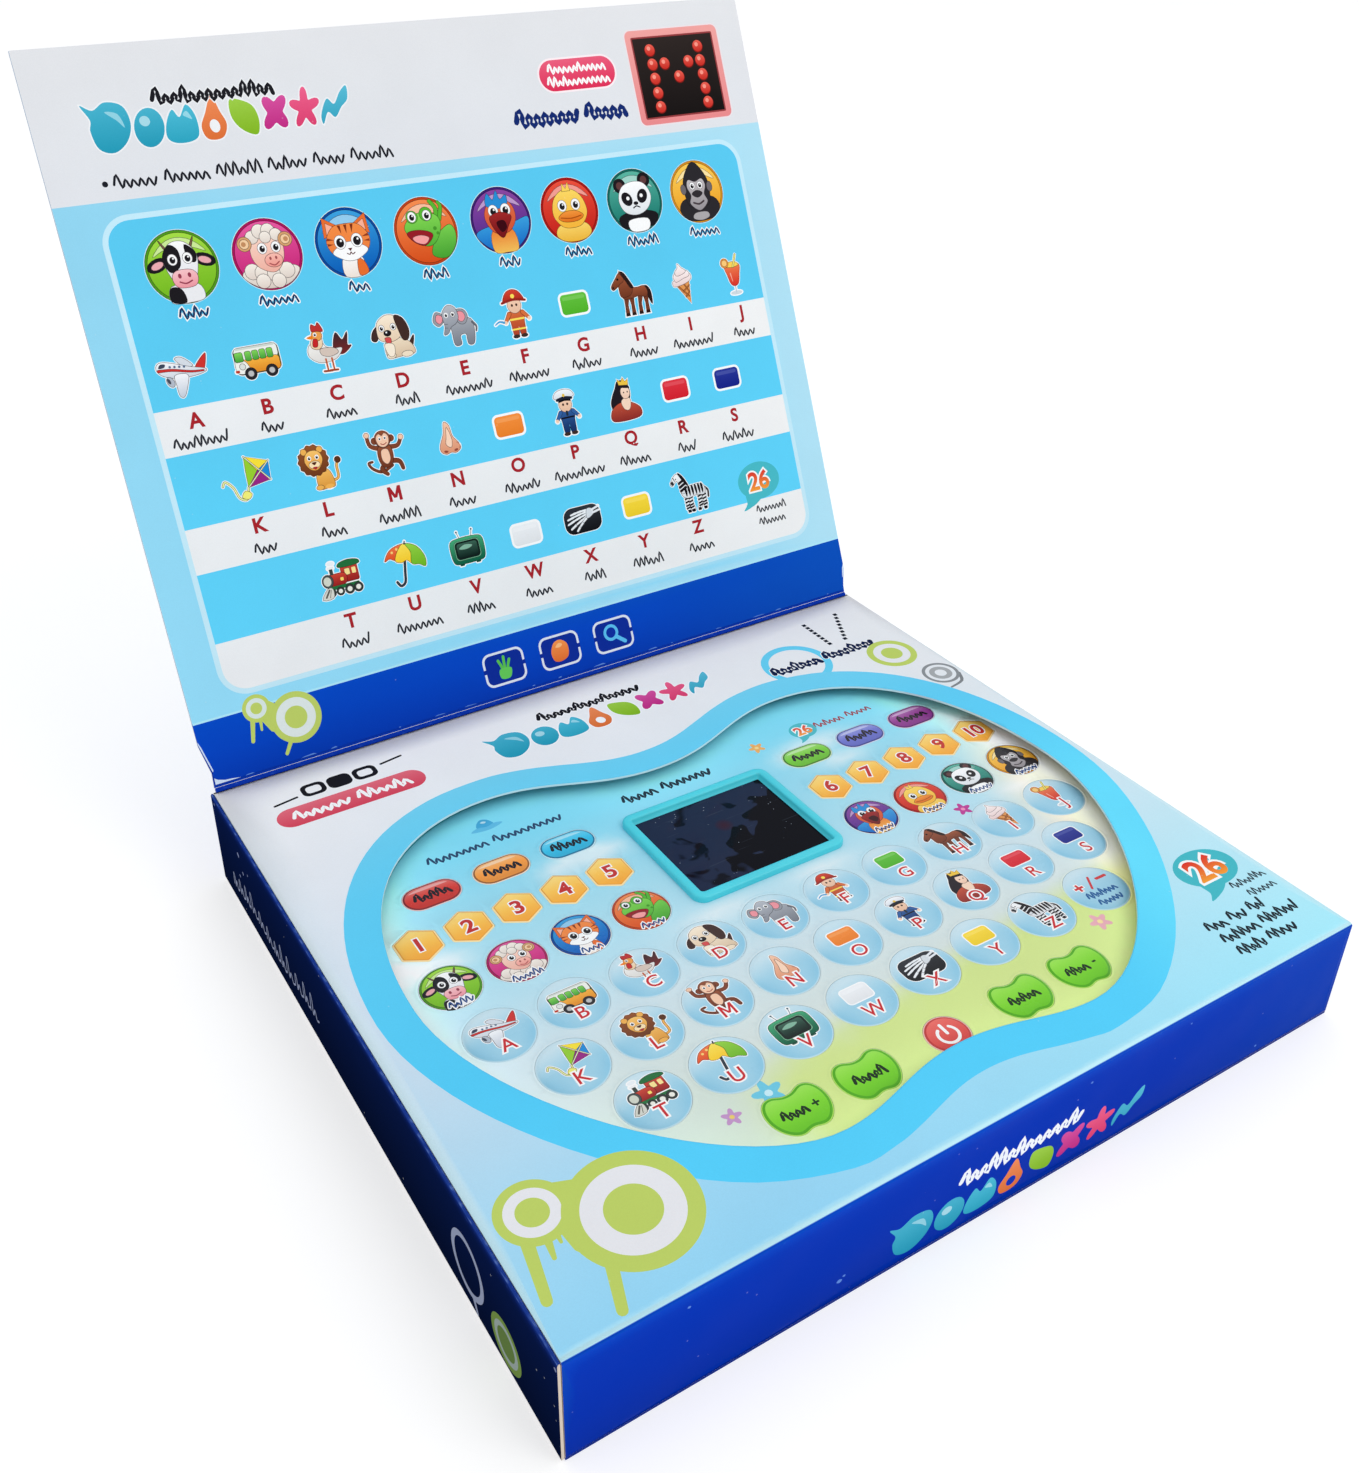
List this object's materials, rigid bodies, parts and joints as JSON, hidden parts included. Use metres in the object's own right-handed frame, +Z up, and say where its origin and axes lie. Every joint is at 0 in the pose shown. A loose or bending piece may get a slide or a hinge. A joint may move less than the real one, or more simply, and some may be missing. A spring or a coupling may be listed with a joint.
{
  "type": "toy learning laptop",
  "caption": "Toy learning computer: an apple-shaped key pad with a small dot display, set in a paperboard carton whose printed lid opens like a laptop.",
  "frame": {"origin": "centre of the carton's underside, on the surface it rests on", "axes": "+X to the right seen from the front, +Y to the back where the lid is hinged, +Z up; the lid is stored open"},
  "size_m": [0.27, 0.339, 0.2573],
  "materials": {
    "printed_board_blue": "gloss",
    "printed_board_pale": "gloss",
    "printed_board_sky": "gloss",
    "raw_board": "matte",
    "case_turquoise": "gloss",
    "case_underside": "satin",
    "face_print": "gloss",
    "display_smoke": "gloss",
    "circuit_board": "satin",
    "led_red": "gloss",
    "switch_film": "satin",
    "backing_grey": "matte",
    "speaker_steel": "satin",
    "wire_red": "satin",
    "battery_jacket": "gloss",
    "contact_metal": "polished",
    "screw_steel": "satin",
    "key_bubble": "gloss",
    "key_amber": "gloss",
    "key_mode": "gloss",
    "key_animal": "gloss",
    "key_green": "gloss",
    "key_power": "gloss"
  },
  "bodies": {
    "carton_and_pad": {"bottom_panel": "raw_board", "front_wall": "printed_board_blue", "back_wall": "printed_board_blue", "right_end_wall": "printed_board_blue", "window_panel": "printed_board_pale", "dust_flaps": "raw_board", "support_insert": "raw_board", "bottom_case": "case_underside", "top_case": "case_turquoise", "face_sheet": "face_print", "display_bezel": "case_turquoise", "display_window": "display_smoke", "led_board": "circuit_board", "led_dots": "led_red", "switch_sheet": "switch_film", "switch_backing": "backing_grey", "main_board": "circuit_board", "speaker": "speaker_steel", "wiring": "wire_red", "batteries": "battery_jacket", "battery_contacts": "contact_metal", "case_screws": "screw_steel"},
    "lid": {"lid_board": "printed_board_blue", "lid_liner": "printed_board_sky"},
    "end_flap": {"end_flap": "printed_board_blue"},
    "tuck_tongue": {"tuck_tongue": "printed_board_blue"},
    "battery_door": {"battery_door": "case_underside", "door_screw": "screw_steel"},
    "mode_keys": {"mode_keys": "key_mode"},
    "number_keys": {"number_keys": "key_amber"},
    "animal_keys": {"animal_keys": "key_animal"},
    "function_keys": {"function_keys": "key_green"},
    "power_key": {"power_key": "key_power"},
    "key_plus_minus": {"key_plus_minus": "key_bubble"},
    "key_a": {"key_a": "key_bubble"},
    "key_b": {"key_b": "key_bubble"},
    "key_c": {"key_c": "key_bubble"},
    "key_d": {"key_d": "key_bubble"},
    "key_e": {"key_e": "key_bubble"},
    "key_f": {"key_f": "key_bubble"},
    "key_g": {"key_g": "key_bubble"},
    "key_h": {"key_h": "key_bubble"},
    "key_i": {"key_i": "key_bubble"},
    "key_j": {"key_j": "key_bubble"},
    "key_k": {"key_k": "key_bubble"},
    "key_l": {"key_l": "key_bubble"},
    "key_m": {"key_m": "key_bubble"},
    "key_n": {"key_n": "key_bubble"},
    "key_o": {"key_o": "key_bubble"},
    "key_p": {"key_p": "key_bubble"},
    "key_q": {"key_q": "key_bubble"},
    "key_r": {"key_r": "key_bubble"},
    "key_s": {"key_s": "key_bubble"},
    "key_t": {"key_t": "key_bubble"},
    "key_u": {"key_u": "key_bubble"},
    "key_v": {"key_v": "key_bubble"},
    "key_w": {"key_w": "key_bubble"},
    "key_x": {"key_x": "key_bubble"},
    "key_y": {"key_y": "key_bubble"},
    "key_z": {"key_z": "key_bubble"}
  },
  "joints": [
    {"name": "carton_lid_hinge", "type": "hinge", "parent": "carton_and_pad", "child": "lid", "pos_m": [0, 0.1206, 0.03695], "axis": [1, 0, 0], "range_deg": [-66, 113.6]},
    {"name": "end_flap_hinge", "type": "hinge", "parent": "carton_and_pad", "child": "end_flap", "pos_m": [-0.1345, 0, 0.0355], "axis": [0, 1, 0], "range_deg": [0, 95]},
    {"name": "end_tongue_fold", "type": "hinge", "parent": "end_flap", "child": "tuck_tongue", "pos_m": [-0.1338, 0, 0.00175], "axis": [0, 1, 0], "range_deg": [-85.5, 0]},
    {"name": "battery_door_drop", "type": "slide", "parent": "carton_and_pad", "child": "battery_door", "axis": [0, 0, -1], "range_m": [0, 0.0075]},
    {"name": "key_mode_press", "type": "slide", "parent": "carton_and_pad", "child": "mode_keys", "axis": [0, 0, -1], "range_m": [0, 0.0005], "stiffness_N_per_m": 400},
    {"name": "key_number_press", "type": "slide", "parent": "carton_and_pad", "child": "number_keys", "axis": [0, 0, -1], "range_m": [0, 0.0005], "stiffness_N_per_m": 400},
    {"name": "key_animal_press", "type": "slide", "parent": "carton_and_pad", "child": "animal_keys", "axis": [0, 0, -1], "range_m": [0, 0.0005], "stiffness_N_per_m": 400},
    {"name": "key_function_press", "type": "slide", "parent": "carton_and_pad", "child": "function_keys", "axis": [0, 0, -1], "range_m": [0, 0.0005], "stiffness_N_per_m": 400},
    {"name": "key_power_press", "type": "slide", "parent": "carton_and_pad", "child": "power_key", "axis": [0, 0, -1], "range_m": [0, 0.0005], "stiffness_N_per_m": 400},
    {"name": "key_plus_minus_press", "type": "slide", "parent": "carton_and_pad", "child": "key_plus_minus", "axis": [0, 0, -1], "range_m": [0, 0.0005], "stiffness_N_per_m": 400},
    {"name": "key_a_press", "type": "slide", "parent": "carton_and_pad", "child": "key_a", "axis": [0, 0, -1], "range_m": [0, 0.0005], "stiffness_N_per_m": 400},
    {"name": "key_b_press", "type": "slide", "parent": "carton_and_pad", "child": "key_b", "axis": [0, 0, -1], "range_m": [0, 0.0005], "stiffness_N_per_m": 400},
    {"name": "key_c_press", "type": "slide", "parent": "carton_and_pad", "child": "key_c", "axis": [0, 0, -1], "range_m": [0, 0.0005], "stiffness_N_per_m": 400},
    {"name": "key_d_press", "type": "slide", "parent": "carton_and_pad", "child": "key_d", "axis": [0, 0, -1], "range_m": [0, 0.0005], "stiffness_N_per_m": 400},
    {"name": "key_e_press", "type": "slide", "parent": "carton_and_pad", "child": "key_e", "axis": [0, 0, -1], "range_m": [0, 0.0005], "stiffness_N_per_m": 400},
    {"name": "key_f_press", "type": "slide", "parent": "carton_and_pad", "child": "key_f", "axis": [0, 0, -1], "range_m": [0, 0.0005], "stiffness_N_per_m": 400},
    {"name": "key_g_press", "type": "slide", "parent": "carton_and_pad", "child": "key_g", "axis": [0, 0, -1], "range_m": [0, 0.0005], "stiffness_N_per_m": 400},
    {"name": "key_h_press", "type": "slide", "parent": "carton_and_pad", "child": "key_h", "axis": [0, 0, -1], "range_m": [0, 0.0005], "stiffness_N_per_m": 400},
    {"name": "key_i_press", "type": "slide", "parent": "carton_and_pad", "child": "key_i", "axis": [0, 0, -1], "range_m": [0, 0.0005], "stiffness_N_per_m": 400},
    {"name": "key_j_press", "type": "slide", "parent": "carton_and_pad", "child": "key_j", "axis": [0, 0, -1], "range_m": [0, 0.0005], "stiffness_N_per_m": 400},
    {"name": "key_k_press", "type": "slide", "parent": "carton_and_pad", "child": "key_k", "axis": [0, 0, -1], "range_m": [0, 0.0005], "stiffness_N_per_m": 400},
    {"name": "key_l_press", "type": "slide", "parent": "carton_and_pad", "child": "key_l", "axis": [0, 0, -1], "range_m": [0, 0.0005], "stiffness_N_per_m": 400},
    {"name": "key_m_press", "type": "slide", "parent": "carton_and_pad", "child": "key_m", "axis": [0, 0, -1], "range_m": [0, 0.0005], "stiffness_N_per_m": 400},
    {"name": "key_n_press", "type": "slide", "parent": "carton_and_pad", "child": "key_n", "axis": [0, 0, -1], "range_m": [0, 0.0005], "stiffness_N_per_m": 400},
    {"name": "key_o_press", "type": "slide", "parent": "carton_and_pad", "child": "key_o", "axis": [0, 0, -1], "range_m": [0, 0.0005], "stiffness_N_per_m": 400},
    {"name": "key_p_press", "type": "slide", "parent": "carton_and_pad", "child": "key_p", "axis": [0, 0, -1], "range_m": [0, 0.0005], "stiffness_N_per_m": 400},
    {"name": "key_q_press", "type": "slide", "parent": "carton_and_pad", "child": "key_q", "axis": [0, 0, -1], "range_m": [0, 0.0005], "stiffness_N_per_m": 400},
    {"name": "key_r_press", "type": "slide", "parent": "carton_and_pad", "child": "key_r", "axis": [0, 0, -1], "range_m": [0, 0.0005], "stiffness_N_per_m": 400},
    {"name": "key_s_press", "type": "slide", "parent": "carton_and_pad", "child": "key_s", "axis": [0, 0, -1], "range_m": [0, 0.0005], "stiffness_N_per_m": 400},
    {"name": "key_t_press", "type": "slide", "parent": "carton_and_pad", "child": "key_t", "axis": [0, 0, -1], "range_m": [0, 0.0005], "stiffness_N_per_m": 400},
    {"name": "key_u_press", "type": "slide", "parent": "carton_and_pad", "child": "key_u", "axis": [0, 0, -1], "range_m": [0, 0.0005], "stiffness_N_per_m": 400},
    {"name": "key_v_press", "type": "slide", "parent": "carton_and_pad", "child": "key_v", "axis": [0, 0, -1], "range_m": [0, 0.0005], "stiffness_N_per_m": 400},
    {"name": "key_w_press", "type": "slide", "parent": "carton_and_pad", "child": "key_w", "axis": [0, 0, -1], "range_m": [0, 0.0005], "stiffness_N_per_m": 400},
    {"name": "key_x_press", "type": "slide", "parent": "carton_and_pad", "child": "key_x", "axis": [0, 0, -1], "range_m": [0, 0.0005], "stiffness_N_per_m": 400},
    {"name": "key_y_press", "type": "slide", "parent": "carton_and_pad", "child": "key_y", "axis": [0, 0, -1], "range_m": [0, 0.0005], "stiffness_N_per_m": 400},
    {"name": "key_z_press", "type": "slide", "parent": "carton_and_pad", "child": "key_z", "axis": [0, 0, -1], "range_m": [0, 0.0005], "stiffness_N_per_m": 400}
  ],
  "couplings": [
    {"joint": "end_tongue_fold", "follows": "end_flap_hinge", "ratio": -0.9}
  ]
}
